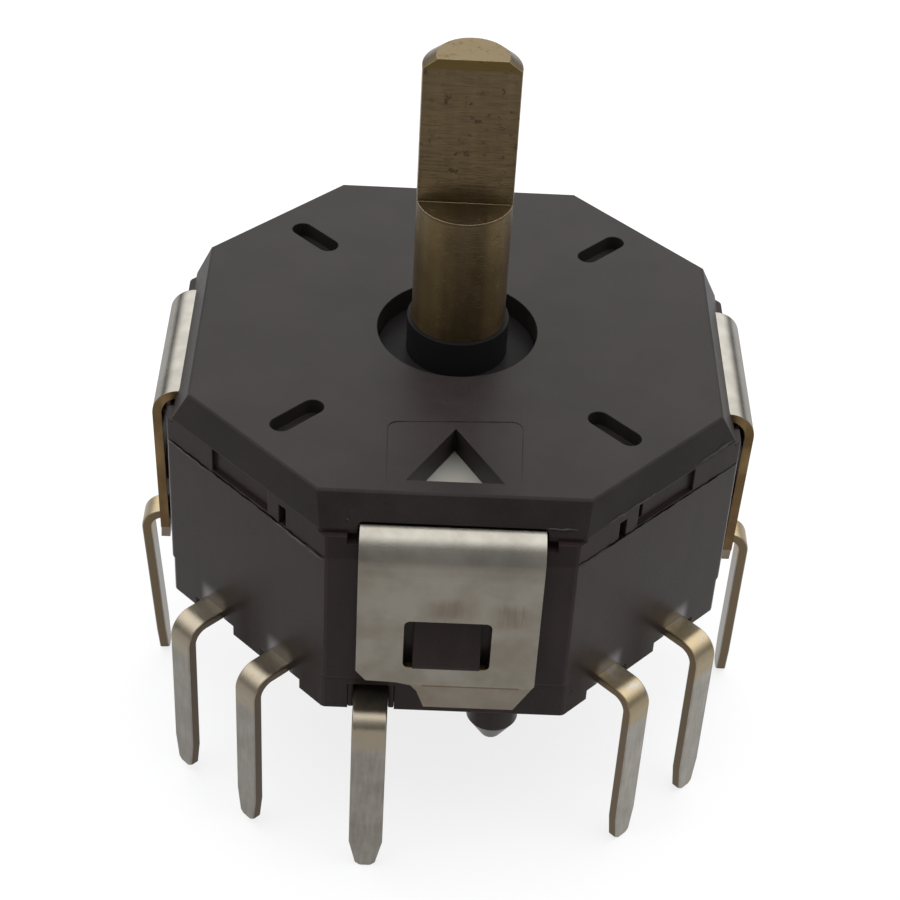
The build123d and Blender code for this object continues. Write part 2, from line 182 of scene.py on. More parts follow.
class Graph:
    """The node tree of a material or a world, with its shader at the end."""

    def __init__(self, owner, shader="ShaderNodeBsdfPrincipled", end="ShaderNodeOutputMaterial"):
        owner.use_nodes = True
        self.owner = owner
        self.tree = owner.node_tree
        self.tree.nodes.clear()
        self.output = self.tree.nodes.new(end)
        self.shader = self.tree.nodes.new(shader)
        self.tree.links.new(self.shader.outputs[0], self.output.inputs["Surface"])

    @classmethod
    def of_material(cls, name):
        """A new material's node tree."""
        return cls(bpy.data.materials.new(name))

    def node(self, kind, settings=None, inputs=None, output=None):
        """Add a node: its settings first, then its sockets' values or links; return an output."""
        made = self.tree.nodes.new(kind)
        for key, value in (settings or {}).items():
            setattr(made, key, value)
        for key, value in (inputs or {}).items():
            self.put(made.inputs[key], value)
        enabled = [socket for socket in made.outputs if socket.enabled]
        return Field(self, made.outputs[output] if output else enabled[0])

    def put(self, socket, value):
        """Link a field to a socket, or set the socket's value."""
        if isinstance(value, Field):
            self.tree.links.new(value.socket, socket)
        elif socket.type == "RGBA":
            socket.default_value = (*tuple(value)[:3], 1.0)
        else:
            socket.default_value = value

    def set(self, **values):
        """Set or link the shader's own sockets, named with underscores."""
        for key, value in values.items():
            self.put(self.shader.inputs[key.replace("_", " ")], value)

    def place(self):
        """Object coordinates in millimetres, as a vector and as x, y and z."""
        coords = self.node("ShaderNodeTexCoord", output="Object")
        scaled = self.node(
            "ShaderNodeVectorMath", {"operation": "SCALE"}, {0: coords, "Scale": 1 / MM}
        )
        return scaled, *self.split(scaled)

    def split(self, vector):
        """The three components of a vector."""
        first = self.node("ShaderNodeSeparateXYZ", inputs={0: vector})
        return [Field(self, socket) for socket in first.socket.node.outputs]

    def stretch(self, vector, scale):
        """A vector multiplied axis by axis."""
        return self.node(
            "ShaderNodeVectorMath", {"operation": "MULTIPLY"}, {0: vector, 1: scale}
        )

    def noise(self, vector, scale, detail=2.0, rough=0.5, shift=0.0):
        """Noise from 0 to 1, with features of about 1 / scale millimetres."""
        if shift:
            vector = self.node(
                "ShaderNodeVectorMath", {"operation": "ADD"}, {0: vector, 1: (shift,) * 3}
            )
        return self.node(
            "ShaderNodeTexNoise",
            {"noise_dimensions": "3D"},
            {"Vector": vector, "Scale": scale, "Detail": detail, "Roughness": rough},
        )

    def specks(self, vector, scale, size):
        """Scattered round specks: 1 at their middles, 0 away from them."""
        inputs = {"Vector": vector, "Scale": scale}
        distance = self.node("ShaderNodeTexVoronoi", {"feature": "F1"}, inputs, "Distance")
        return distance.step(size, size * 0.4)

    def dot(self, first, second):
        """Dot product of two vectors."""
        inputs = {0: first, 1: second}
        return self.node("ShaderNodeVectorMath", {"operation": "DOT_PRODUCT"}, inputs, "Value")

    def mix(self, factor, first, second):
        """Blend two colours."""
        inputs = {0: factor, 6: first, 7: second}
        return self.node("ShaderNodeMix", {"data_type": "RGBA"}, inputs, 2)

    def soft_edge(self, radius):
        """Normal rounded over a radius in millimetres."""
        return self.node("ShaderNodeBevel", {"samples": 6}, {"Radius": radius * MM})

    def edge_mask(self, radius):
        """1 on sharp edges, 0 on faces, from how far the rounded normal leans."""
        rounded = self.soft_edge(radius)
        true = self.node("ShaderNodeNewGeometry", output="Normal")
        return self.dot(rounded, true).step(0.98, 0.8)

    def bump(self, height, depth, normal=None):
        """Normal from a height field whose full range is depth millimetres."""
        inputs = {"Height": height, "Strength": 1.0, "Distance": depth * MM}
        if normal is not None:
            inputs["Normal"] = normal
        return self.node("ShaderNodeBump", inputs=inputs)


# Finishes ---------------------------------------------------------------------------------


def moulded_plastic(name, dark, light, rough, soft, streaks, gloss, wall=None, pins=False):
    """Moulded thermoset: mottled colour, fine spark grain, faint flow streaks, edges lightened by
    wear and a painted highlight.

    Soft is the rounding of its edges in millimetres. A wall colour, painted light, gives the
    cover's upright wall under the sloping band the browner tone of lit upright walls. With pins,
    the corner walls are polished just above each pin.
    """
    graph = Graph.of_material(name)
    at, x, y, z = graph.place()
    cloud = graph.noise(at, 0.35, 3.0, 0.55)
    grain = graph.noise(at, 9.0, 2.0, 0.6, 7.0)
    flow = graph.noise(graph.stretch(at, (1.0, 1.0, 0.12)), 1.6, 2.0, 0.5, 3.0)
    dust = graph.specks(at, 1.4, 0.09) * graph.noise(at, 0.6, 1.0, 0.5, 11.0).step(0.52, 0.62)
    mottle = cloud.step(0.3, 0.7) * 0.55 + grain.step(0.35, 0.65) * 0.25
    colour = graph.mix(mottle + flow.step(0.4, 0.7) * streaks, dark, light)
    # Lighter edges: partly wear, partly a painted highlight along every sharp edge.
    colour = graph.mix(graph.edge_mask(0.09) * 0.35, colour, [v * 1.9 for v in light])
    colour = graph.mix(dust * 0.16, colour, [v * 4.0 for v in light])
    if wall:
        # Painted light: the upright wall under the band gets the browner tone it shows under the
        # light.
        colour = graph.mix(z.step(BAND_UP + 0.1, BAND_UP - 0.1), colour, wall)
    height = grain * 0.7 + cloud * 1.5
    graph.set(
        Base_Color=colour,
        Roughness=rough + (cloud - 0.5) * 0.1 + (grain - 0.5) * 0.12 + flow.step(0.5, 0.8) * 0.05,
        Normal=graph.bump(height, 0.005, graph.soft_edge(soft)),
        Specular_IOR_Level=gloss,
    )
    if pins:
        along = abs(abs(x) - abs(y)) * sqrt(0.5)
        corner_wall = (abs(x) + abs(y)).step(16.6, 16.8)
        beside = along.between(PIN_PITCH / 2 - 0.45, PIN_PITCH / 2 + 0.45, 0.5)
        above = z.between(0.8, 1.15, 0.85)
        polish = beside * above * corner_wall * 0.8
        graph.set(Coat_Weight=polish, Coat_Roughness=0.24, Coat_IOR=1.8)
    return graph.owner


def plated_sheet(name, settings):
    """Nickel-plated sheet: rolled grain, bare cut edges, handling marks, brown stains, painted
    shade and a painted reflection.
    """
    graph = Graph.of_material(name)
    at, x, y, z = graph.place()
    out = abs(x).high(abs(y))
    normal = graph.node("ShaderNodeTexCoord", output="Normal")
    normal_x, normal_y, normal_z = (abs(part) for part in graph.split(normal))
    on_front = (abs(y) - abs(x)).step(-0.2, 0.2)
    across = normal_x * on_front + normal_y * (1 - on_front)
    leg = out.step(LEG_OUT - 0.05, LEG_OUT + 0.05)
    level = normal_z.step(0.75, 0.95) * out.step(LEG_OUT - 0.03, LEG_OUT + 0.03)
    cut = across.step(0.6, 0.9).high(level * z.step(9.2, 9.1))
    matt = out.step(11.0, 10.6)
    cloud = graph.noise(at, 0.5, 3.0, 0.6)
    grain = graph.noise(graph.stretch(at, (1.0, 1.0, 0.08)), 14.0, 2.0, 0.6)
    smears = graph.noise(graph.stretch(at, (1.0, 1.0, 0.35)), 2.4, 4.0, 0.65, 4.0)
    front = y.step(-12.4, -12.6)
    left_patch = x.between(-0.5, 0.3, 0.7) * z.between(6.45, 6.75, 0.6) * 0.7
    right_patch = x.between(2.1, 2.8, 0.7) * z.between(6.0, 6.6, 0.6)
    drag = graph.noise(graph.stretch(at, (1.0, 1.0, 0.05)), 5.0, 2.0, 0.55, 9.0)
    stain = left_patch.high(right_patch) * (0.3 + drag.step(0.3, 0.75) * 0.7) * front * 0.62
    tab = z.step(CREASE_UP + 0.05, CREASE_UP - 0.05) * leg
    crease = z.between(CREASE_UP - 0.03, CREASE_UP + 0.01, 0.03) * x.between(-0.9, 3.0, 0.1) * front
    colour = graph.mix(cloud.step(0.3, 0.7), settings.sheet_dark, settings.sheet_light)
    colour = graph.mix(smears.step(0.55, 0.75) * 0.25, colour, settings.sheet_dark)
    # Painted shade: the legs' upright faces are darkened and browned by which way they face.
    colour = graph.mix(normal_z.step(0.5, 0.1) * leg * 0.2, colour, settings.stain)
    # Painted shade: the tab below the crease is darkened for its tilt away from the light.
    colour = graph.mix(tab * 0.25, colour, settings.stain)
    # Painted shade: a dark line along the crease on the front leg.
    colour = graph.mix(crease * 0.7, colour, settings.stain)
    colour = graph.mix(stain, colour, settings.stain)
    # Painted reflection: the plate's middle gets a lighter colour for the overhead light it
    # reflects.
    colour = graph.mix(matt, colour, settings.plate_middle_sheen)
    bare = graph.mix(cloud.step(0.35, 0.65) * 0.7, settings.cut_edge, settings.stain)
    colour = graph.mix(cut, colour, bare)
    bow = graph.bump(z.step(9.6, 8.0), 0.2, graph.soft_edge(0.05))
    under_bend = z.between(8.5, 9.2, 0.6) * leg
    rough = 0.2 + (cloud - 0.5) * 0.1 + grain * 0.05 + stain * 0.3 + cut * 0.25 + under_bend * 0.2
    graph.set(
        Base_Color=colour,
        Metallic=1 - stain * 0.5 - matt * 0.6,
        Roughness=rough,
        Normal=graph.bump(grain * 0.6 + cloud, 0.004, bow),
    )
    return graph.owner


def turned_brass(name, settings):
    """Tarnished brass bar: streaks down the round, cutter lines on the flat, pits and stains,
    painted highlights and painted shade.
    """
    graph = Graph.of_material(name)
    at, x, y, z = graph.place()
    flat = y.between(-0.41, -0.33, 0.02) * z.step(FLAT_UP - 0.1, FLAT_UP)
    end = z.step(END_UP - 0.1, END_UP)
    ledge = z.between(FLAT_UP - 0.1, FLAT_UP + 0.05, 0.02) * y.step(-0.3, -0.4)
    cloud = graph.noise(at, 0.7, 4.0, 0.6)
    rings = graph.noise(graph.stretch(at, (0.15, 0.15, 1.0)), 22.0, 2.0, 0.6)
    cuts = graph.noise(graph.stretch(at, (0.12, 1.0, 1.0)), 9.0, 3.0, 0.65, 6.0)
    streaks = graph.noise(graph.stretch(at, (1.0, 1.0, 0.08)), 1.5, 2.0, 0.5, 21.0)
    pits = graph.noise(at, 2.6, 4.0, 0.7, 2.0).step(0.58, 0.68)
    round_side = (1 - flat) * (1 - end)
    # Painted highlight: bright stripes down both sides of the round, where it reflects the light.
    worn = (x.between(-1.5, -1.0, 0.4) + x.between(1.1, 1.6, 0.35)) * round_side
    # Painted shade: a dark band down the middle of the round.
    dull = x.between(-0.1, 0.8, 0.5) * round_side
    tone = cloud.step(0.3, 0.7) * 0.5 + rings.step(0.4, 0.7) * 0.2 + streaks.step(0.35, 0.65) * 0.3
    colour = graph.mix(tone, settings.brass_dark, settings.brass_light)
    colour = graph.mix(worn * 0.4, colour, settings.brass_highlight)
    colour = graph.mix(dull * 0.4, colour, settings.brass_pit_and_shade)
    # Painted shade: the flat darkens towards its top.
    colour = graph.mix(flat * z.step(17.5, 23.0) * 0.3, colour, settings.brass_pit_and_shade)
    colour = graph.mix(flat * cuts.step(0.4, 0.65) * 0.4, colour, settings.brass_pit_and_shade)
    # Painted shade: the ledge at the foot of the flat is darkened.
    colour = graph.mix(ledge * 0.6, colour, settings.brass_pit_and_shade)
    colour = graph.mix(pits * (0.2 + flat * 0.6), colour, settings.brass_pit_and_shade)
    colour = graph.mix(end * 0.85, colour, settings.brass_end)
    # Painted highlight: the brass's sharp edges are brightened.
    colour = graph.mix(graph.edge_mask(0.06) * 0.7, colour, settings.brass_rim_highlight)
    height = rings * (1 - flat) + cuts * flat * 1.5 + pits * -0.6
    graph.set(
        Base_Color=colour,
        Metallic=0.7 + end * 0.3,
        Roughness=0.3 + (cloud - 0.5) * 0.2 + rings * 0.06 + pits * 0.2,
        Normal=graph.bump(height, 0.008, graph.soft_edge(0.05)),
    )
    return graph.owner


def tinned_strip(name, settings, pin):
    """Tin-plated strip: grey faces with worn spots, brown cut sides and bright warm bends, toned
    per pin as painted light.
    """
    graph = Graph.of_material(name)
    at, _, _, z = graph.place()
    turn = radians(pin.side + 90)
    normal = graph.node("ShaderNodeTexCoord", output="Normal")
    cut = abs(graph.dot(normal, (cos(turn), sin(turn), 0.0))).step(0.75, 0.97)
    cloud = graph.noise(at, 0.8, 4.0, 0.6)
    drag = graph.noise(graph.stretch(at, (1.0, 1.0, 0.12)), 6.0, 3.0, 0.6, 5.0)
    spots = graph.noise(at, 3.2, 3.0, 0.65, 14.0).step(0.6, 0.72)
    bend = z.between(-0.4, 2.0, 0.6) * graph.noise(at, 1.6, 2.0, 0.5, 8.0).step(0.2, 0.5)
    # Painted light: each pin's tin is lightened or darkened by its own scale.
    dark = [v * pin.shine for v in settings.tin_dark]
    light = [v * pin.shine for v in settings.tin_light]
    colour = graph.mix(cloud.step(0.3, 0.7) * 0.6 + drag.step(0.4, 0.65) * 0.4, dark, light)
    gold = [v + (w - v) * pin.gilt for v, w in zip(settings.warm, settings.gilt)]
    colour = graph.mix(bend * 0.85, colour, gold)
    colour = graph.mix(spots * 0.35, colour, settings.worn_spot)
    side = [v + (w - v) * pin.gilt * 0.6 for v, w in zip(settings.cut_pin, settings.cut_gilt)]
    colour = graph.mix(cut * 0.9, colour, side)
    graph.set(
        Base_Color=colour,
        Metallic=1.0,
        Roughness=0.33 + (cloud - 0.5) * 0.16 + drag * 0.08 + cut * 0.1,
        Normal=graph.bump(drag * 0.5 + cloud, 0.008, graph.soft_edge(0.04)),
    )
    return graph.owner


def plain_metal(name, colour, rough, scale):
    """Bright metal of an inner piece, faintly clouded."""
    graph = Graph.of_material(name)
    at = graph.place()[0]
    cloud = graph.noise(at, scale, 3.0, 0.6)
    graph.set(
        Base_Color=graph.mix(cloud.step(0.3, 0.7), [v * 0.8 for v in colour], colour),
        Metallic=1.0,
        Roughness=rough + (cloud - 0.5) * 0.15,
        Normal=graph.bump(cloud, 0.004, graph.soft_edge(0.02)),
    )
    return graph.owner


def give(material, *names):
    """Give a material to CAD nodes."""
    for name in names:
        mesh = NODES[name].data
        mesh.materials.clear()
        mesh.materials.append(material)


# Surfaces ---------------------------------------------------------------------------------


def tube(name, rings, normals=None):
    """Closed mesh through rings of points, an array of (ring, point, xyz) in millimetres.

    Neighbouring points of neighbouring rings make a face, the last point of a ring joins the
    first, and the middle of each end ring is the pole of a fan that closes it.
    """
    count, around = rings.shape[:2]
    index = np.arange(count * around).reshape(count, around)
    after = np.roll(index, -1, axis=1)
    quads = np.stack([index[:-1], after[:-1], after[1:], index[1:]], axis=-1).reshape(-1, 4)
    poles = rings[[0, -1]].mean(axis=1)
    start = np.stack([after[0], index[0], np.full(around, index.size)], axis=-1)
    end = np.stack([index[-1], after[-1], np.full(around, index.size + 1)], axis=-1)
    points = np.concatenate([rings.reshape(-1, 3), poles]) * MM
    mesh = bpy.data.meshes.new(name)
    mesh.from_pydata(points.tolist(), [], quads.tolist() + start.tolist() + end.tolist())
    mesh.shade_smooth()
    if normals is not None:
        ends = poles - rings[[1, -2]].mean(axis=1)
        mesh.normals_split_custom_set_from_vertices(
            np.concatenate([normals.reshape(-1, 3), ends]).tolist()
        )
    piece = bpy.data.objects.new(name, mesh)
    bpy.context.scene.collection.objects.link(piece)
    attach(piece, "housing")
    return piece


def unit(vectors):
    """Vectors brought to length 1, row by row."""
    return vectors / np.linalg.norm(vectors, axis=-1, keepdims=True)


def turned(points, side):
    """Points given as (out, along, up) on a side, turned about Z to the side's angle."""
    c, s = cos(radians(side)), sin(radians(side))
    return points @ np.array([[c, s, 0.0], [-s, c, 0.0], [0.0, 0.0, 1.0]])


def rounded_path(corners, radii, steps=14):
    """Points along straight runs joined by arcs, in a plane; a radius of 0 keeps a corner.

    A corner is cut back by radius * tan(turn / 2) on both runs. A point of the arc is the
    cut-back point plus radius * (sin a along the run in, 1 - cos a towards the run out), for
    a from 0 to the turn.
    """
    corners = np.array(corners, float)
    runs = unit(np.diff(corners, axis=0))
    parts = [corners[:1]]
    for corner, radius, run_in, run_out in zip(corners[1:-1], radii, runs[:-1], runs[1:]):
        if not radius:
            parts.append(corner[None])
            continue
        turn = np.arccos(run_in @ run_out)
        inward = unit(run_out - (run_out @ run_in) * run_in)
        begin = corner - run_in * radius * np.tan(turn / 2)
        a = np.linspace(0, turn, steps)[:, None]
        parts.append(begin + radius * (np.sin(a) * run_in + (1 - np.cos(a)) * inward))
    return np.concatenate([*parts, corners[-1:]])


def rounded_section(wide, deep, radius):
    """Points of rounded rectangles, one row per ring, from half sizes and corner radii.

    The middles of the corners are (+-(wide - radius), +-(deep - radius)), and each adds
    radius * (cos v, sin v), with v running through that corner's own quarter turn. Returns
    the two coordinates and v.
    """
    v = np.radians(np.linspace(0, 90, 5) + 90 * np.arange(4)[:, None]).ravel()
    across, through = np.repeat([[1, -1, -1, 1], [1, 1, -1, -1]], 5, axis=1)
    wide, deep, radius = (np.asarray(size)[:, None] for size in (wide, deep, radius))
    first = across * (wide - radius) + radius * np.cos(v)
    second = through * (deep - radius) + radius * np.sin(v)
    return first, second, v


def rib(name, along, height):
    """Upright moulded rib on the front: a rounded rectangle carried up, drawn in at both ends.

    At a fraction s of its height its half sizes shrink by r * (1 - sqrt(1 - e * e)), where r
    is the end's rounding and e is how far s lies into the last tenth at either end, 0 to 1.
    """
    corner, end_round = 0.06, 0.05
    s = np.array([0.0, 0.02, 0.05, 0.1, 0.5, 0.9, 0.95, 0.98, 1.0])
    e = np.clip(1 - np.minimum(s, 1 - s) / 0.1, 0, 1)
    shrink = end_round * (1 - np.sqrt(1 - e * e))
    a, b, _ = rounded_section(RIB_HALF[0] - shrink, RIB_HALF[1] - shrink, corner - shrink)
    z = np.broadcast_to((RIB_FOOT + height * s)[:, None], a.shape)
    piece = tube(name, turned(np.stack([RIB_OUT + a, along + b, z], axis=-1), SIDES["front"]))
    return piece


def pin_table():
    """All twelve terminals, by name."""
    pins = {
        "terminal_front": Pin(
            SIDES["front"], -3.03, 13.45, 0.0, PIN_TIP, 1.45, 0.55, True, 0.95, 0.0
        ),
        "terminal_back": Pin(SIDES["back"], -3.03, 13.45, 0.0, PIN_TIP, 1.45, 0.55, True, 1.0, 0.0),
        "terminal_right": Pin(
            SIDES["right"], -0.4, 13.72, 0.05, PIN_TIP, PIN_WIDTH, 0.8, False, 1.1, 1.0
        ),
        "terminal_left": Pin(
            SIDES["left"], 0.4, 13.72, 0.58, PIN_TIP, PIN_WIDTH, 0.8, False, 1.0, 0.8
        ),
    }
    for side in ("front_right", "back_right", "back_left", "front_left"):
        tip = PIN_TIP + 0.3 if side == "front_left" else PIN_TIP
        # Painted light: the right-hand corner pins are painted lighter, the left-hand ones darker.
        shine, gilt = (1.2, 0.7) if "right" in side else (0.92, 0.0)
        for track, along in (("a", PIN_PITCH / 2), ("b", -PIN_PITCH / 2)):
            pins[f"terminal_{side}_{track}"] = Pin(
                SIDES[side], along, 13.75, 0.0, tip, PIN_WIDTH, 0.8, False, shine, gilt
            )
    return pins


def strip_pin(name, pin, soft):
    """Terminal: a rounded rectangle carried along a bent path, narrowed and blunted at its tip.

    The half width falls in straight lines over the last 1.5 mm, and at the end the section
    shrinks by soft * (1 - cos p), p from 0 to near a quarter turn, which rounds it. A cranked
    run is shifted and widened in straight lines between two distances out.
    """
    foot = (pin.reach - pin.lean, pin.tip)
    corners = [(RISER_OUT, RISER_TOP), (RISER_OUT, RUN_UP), (pin.reach, RUN_UP), foot]
    radii = [0.3, pin.bend]
    if pin.cranked:
        corners[2:2] = [(out, RUN_UP) for out in CRANK]
        radii[1:1] = [0, 0]
    path = rounded_path(corners, radii)
    down = unit(path[-1] - path[-2])
    p = np.radians([0, 20, 40, 60, 80])
    taper = path[-1] - down * np.array([1.5, 0.85, 0.2])[:, None]
    end = path[-1] - down * soft + down * soft * np.sin(p)[:, None]
    path = np.concatenate([path[:-1], taper, end])
    half = np.interp(path[:, 1] - pin.tip, [0.0, 0.2, 1.5], [0.22, 0.45, pin.width / 2])
    shift = np.full(len(path), pin.along)
    if pin.cranked:
        shift = np.interp(path[:, 0], CRANK, [0.0, pin.along])
        half = np.minimum(half, np.interp(path[:, 0], CRANK, [PIN_WIDTH / 2, pin.width / 2]))
    shrink = np.zeros(len(path))
    shrink[-len(p):] = soft * (1 - np.cos(p))
    y, h, v = rounded_section(half - shrink, STRIP / 2 - shrink, soft - shrink)
    y = y + shift[:, None]
    ahead = unit(np.gradient(path, axis=0))[:, None]
    x, z = path[:, None, 0] - h * ahead[..., 1], path[:, None, 1] + h * ahead[..., 0]
    z = np.maximum(z, pin.tip)
    slope = np.broadcast_to(np.cos(v), y.shape)
    normals = [-np.sin(v) * ahead[..., 1], slope, np.sin(v) * ahead[..., 0]]
    rings, normals = (turned(np.stack(parts, axis=-1), pin.side) for parts in ([x, y, z], normals))
    piece = tube(name, rings, normals)
    return piece


def thread_path(thread, seed):
    """Points along a stretch of a side, in a line that wanders up and down.

    The height runs in a straight line from low to high, plus two small sines of the distance
    along the side.
    """
    count = int(24 + 16 * (thread.stop - thread.start))
    s = np.linspace(0, 1, count)
    along = thread.start + (thread.stop - thread.start) * s
    wander = 0.015 * np.sin(along * 5.3 + seed * 2) + 0.012 * np.sin(along * 12 + seed)
    height = thread.low + (thread.high - thread.low) * s + wander
    path = np.stack([np.full(count, thread.out), along, height], axis=-1)
    return turned(path, SIDES[thread.side])


def insert_outline(count=160):
    """Evenly spaced points on the cover round the index window's insert, open at the rim."""
    corners = [(-2.72, -10.4), (-2.78, -6.6), (2.75, -6.3), (2.62, -10.1)]
    flat = rounded_path(corners, [0.45, 0.45], 10)
    length = np.concatenate([[0], np.cumsum(np.linalg.norm(np.diff(flat, axis=0), axis=1))])
    even = np.linspace(0, length[-1], count)
    top = np.full(count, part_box("cover")[1].z / MM)
    return np.stack([*(np.interp(even, length, axis) for axis in flat.T), top], axis=-1)


def bead(name, path, out, size, rough, seed):
    """Ragged thread along a path of points, with out the direction it stands out in.

    With s from 0 to 1 along the path, the thread's radius is size * (0.35 + rough * rag), where
    rag is a half plus a sixth of the sum of three sines of s, and it tapers towards both ends as
    the fourth root of 4 s (1 - s). Each ring is a circle round the path, flattened to half its
    height.
    """
    s = np.linspace(0.0, 1.0, len(path))
    rag = sum(np.sin(s * k * len(path) / 24 + seed * k) for k in (3.0, 5.3, 9.1)) / 6 + 0.5
    radius = size * (0.35 + rough * rag) * np.maximum(4 * s * (1 - s), 1e-4) ** 0.25
    ahead = unit(np.gradient(path, axis=0))
    out = unit(np.broadcast_to(out, path.shape) * 1.0)
    up = np.cross(ahead, out)
    v = np.linspace(0, 2 * np.pi, 8, endpoint=False)[:, None]
    rings = path[:, None] + radius[:, None, None] * (
        np.cos(v) * out[:, None] + 0.5 * np.sin(v) * up[:, None]
    )
    piece = tube(name, rings)
    return piece


def coil_spring(name, node, side, joint, wire):
    """Coil spring between a detent ball and the end of its channel.

    The wire's middle runs along a helix: out is start + length * s, and the other two
    coordinates are radius * (cos a, sin a) with a = 2 pi * turns * s. Each ring is a circle of
    the wire's radius, drawn on the helix's spoke and on the cross product of its direction
    with that spoke.
    """
    start, length, height = 9.382, 1.758, 5.775
    radius, turns = 0.68, 3.5
    travel = next(row["range_m"][1] for row in frame["joints"] if row["name"] == joint) / MM
    s = np.linspace(0.0, 1.0, 141)
    a = 2 * np.pi * turns * s
    none = np.zeros_like(s)
    spoke = np.stack([none, np.cos(a), np.sin(a)], axis=-1)
    path = np.stack([start + length * s, none, none + height], axis=-1) + radius * spoke
    beside = np.cross(unit(np.gradient(path, axis=0)), spoke)
    v = np.linspace(0, 2 * np.pi, 10, endpoint=False)[:, None]
    rings = path[:, None] + wire * (np.cos(v) * spoke[:, None] + np.sin(v) * beside[:, None])
    piece = tube(name, turned(rings, side))
    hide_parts(node)
    outward = turned(np.array([1.0, 0.0, 0.0]), side)
    anchor = (outward * (start + length) + [0.0, 0.0, height]) * MM
    1 - travel / length
    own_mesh(piece)
    return piece


# Settings ---------------------------------------------------------------------------------


def colour_setting(name, description, default):
    """A colour that a user may change."""
    return bpy.props.FloatVectorProperty(
        name=name, description=description, default=default, subtype="COLOR", min=0.0, max=1.0
    )


def length_setting(name, description, default):
    """A length in metres that a user may change."""
    return bpy.props.FloatProperty(
        name=name, description=description, default=default, subtype="DISTANCE", unit="LENGTH"
    )


def angle_setting(name, description, default):
    """An angle in radians that a user may change."""
    return bpy.props.FloatProperty(
        name=name, description=description, default=default, subtype="ANGLE"
    )


def light_setting(name, description, default):
    """A light's strength that a user may change."""
    return bpy.props.FloatProperty(name=name, description=description, default=default, min=0.0)


class HousingSettings(bpy.types.PropertyGroup):
    """Colours and sizes of the moulded housing."""

    cover_dark: colour_setting("Cover dark", "Darker tone of the cover", (0.0124, 0.0098, 0.0093))
    cover_light: colour_setting("Cover light", "Lighter tone of the cover", (0.019, 0.0156, 0.0149))
    base_dark: colour_setting("Base dark", "Darker tone of the base", (0.0130, 0.0088, 0.0079))
    base_light: colour_setting("Base light", "Lighter tone of the base", (0.0200, 0.0140, 0.0126))
    flash: colour_setting("Flash", "Thin pale flash at the joint", (0.058, 0.051, 0.044))
    burr: colour_setting("Burr", "Dull burr on the upper edges", (0.030, 0.0265, 0.025))
    # Painted shadow: the dark threads stand in for the shade in the joint's gap.
    joint_shadow: colour_setting("Dirt", "Dirt packed in the joint", (0.0025, 0.002, 0.002))
    # Darker than the cover: painted shade along the line round the insert.
    witness: colour_setting("Witness line", "Line round the index insert", (0.0105, 0.009, 0.0085))
    rotor_black: colour_setting("Rotor", "Colour of the rotor", (0.0105, 0.0096, 0.0096))
    edge_round: length_setting("Edge rounding", "Rounding of the housing's edges", 0.07 * MM)
    rib_height: length_setting("Rib height", "Height of the ribs on the front", 1.4 * MM)
    line_size: length_setting("Line size", "Thickness of the witness line", 0.036 * MM)


class MetalSettings(bpy.types.PropertyGroup):
    """Colours and sizes of the metal pieces."""

    sheet_dark: colour_setting("Sheet dark", "Darker tone of the plating", (0.165, 0.153, 0.130))
    sheet_light: colour_setting("Sheet light", "Lighter tone of the plating", (0.225, 0.213, 0.185))
    # Lighter colour of the plate's middle: a painted reflection of the overhead light.
    plate_middle_sheen: colour_setting("Matt plate", "Unrubbed middle of the plate", (0.31, 0.30, 0.265))
    # This stain colour also paints the shade on the legs' upright faces, the tab and the crease.
    stain: colour_setting("Stain", "Brown handling stain", (0.085, 0.050, 0.024))
    cut_edge: colour_setting("Cut edge", "Bare cut edge of the sheet", (0.17, 0.112, 0.052))
    brass_dark: colour_setting("Brass dark", "Tarnished brass", (0.082, 0.054, 0.024))
    brass_light: colour_setting("Brass light", "Cleaner brass", (0.132, 0.092, 0.041))
    # Painted highlight: the bright stripes down the shank.
    brass_highlight: colour_setting("Brass worn", "Rubbed streaks down the shank", (0.20, 0.142, 0.062))
    brass_end: colour_setting("Brass end", "Sawn end of the bar", (0.078, 0.054, 0.019))
    # Painted highlight along the brass's edges.
    brass_rim_highlight: colour_setting("Brass rim", "Bright edges of the cuts", (0.32, 0.25, 0.13))
    # Also the colour of the painted shade on the round, the flat's top and the ledge.
    brass_pit_and_shade: colour_setting("Brass pits", "Pits in the brass", (0.040, 0.026, 0.013))
    tin_dark: colour_setting("Tin dark", "Darker tin plate", (0.17, 0.155, 0.135))
    tin_light: colour_setting("Tin light", "Lighter tin plate", (0.25, 0.235, 0.21))
    warm: colour_setting("Warm bend", "Metal rubbed through at the bends", (0.235, 0.20, 0.145))
    cut_pin: colour_setting("Pin side", "Bare cut side of a pin", (0.075, 0.055, 0.036))
    cut_gilt: colour_setting("Warm pin side", "Yellower cut side of a pin", (0.15, 0.105, 0.055))
    gilt: colour_setting("Gilt bend", "Yellow metal at the bends", (0.28, 0.213, 0.108))
    worn_spot: colour_setting("Pin spots", "Worn spots on the pins", (0.16, 0.125, 0.085))
    contact: colour_setting("Contact", "Spring bronze of the contacts", (0.75, 0.58, 0.3))
    steel: colour_setting("Steel", "Balls and springs", (0.6, 0.6, 0.6))
    pin_round: length_setting("Pin rounding", "Rounding of a pin's long edges", 0.09 * MM)
    spring_wire: length_setting("Spring wire", "Radius of the springs' wire", 0.105 * MM)


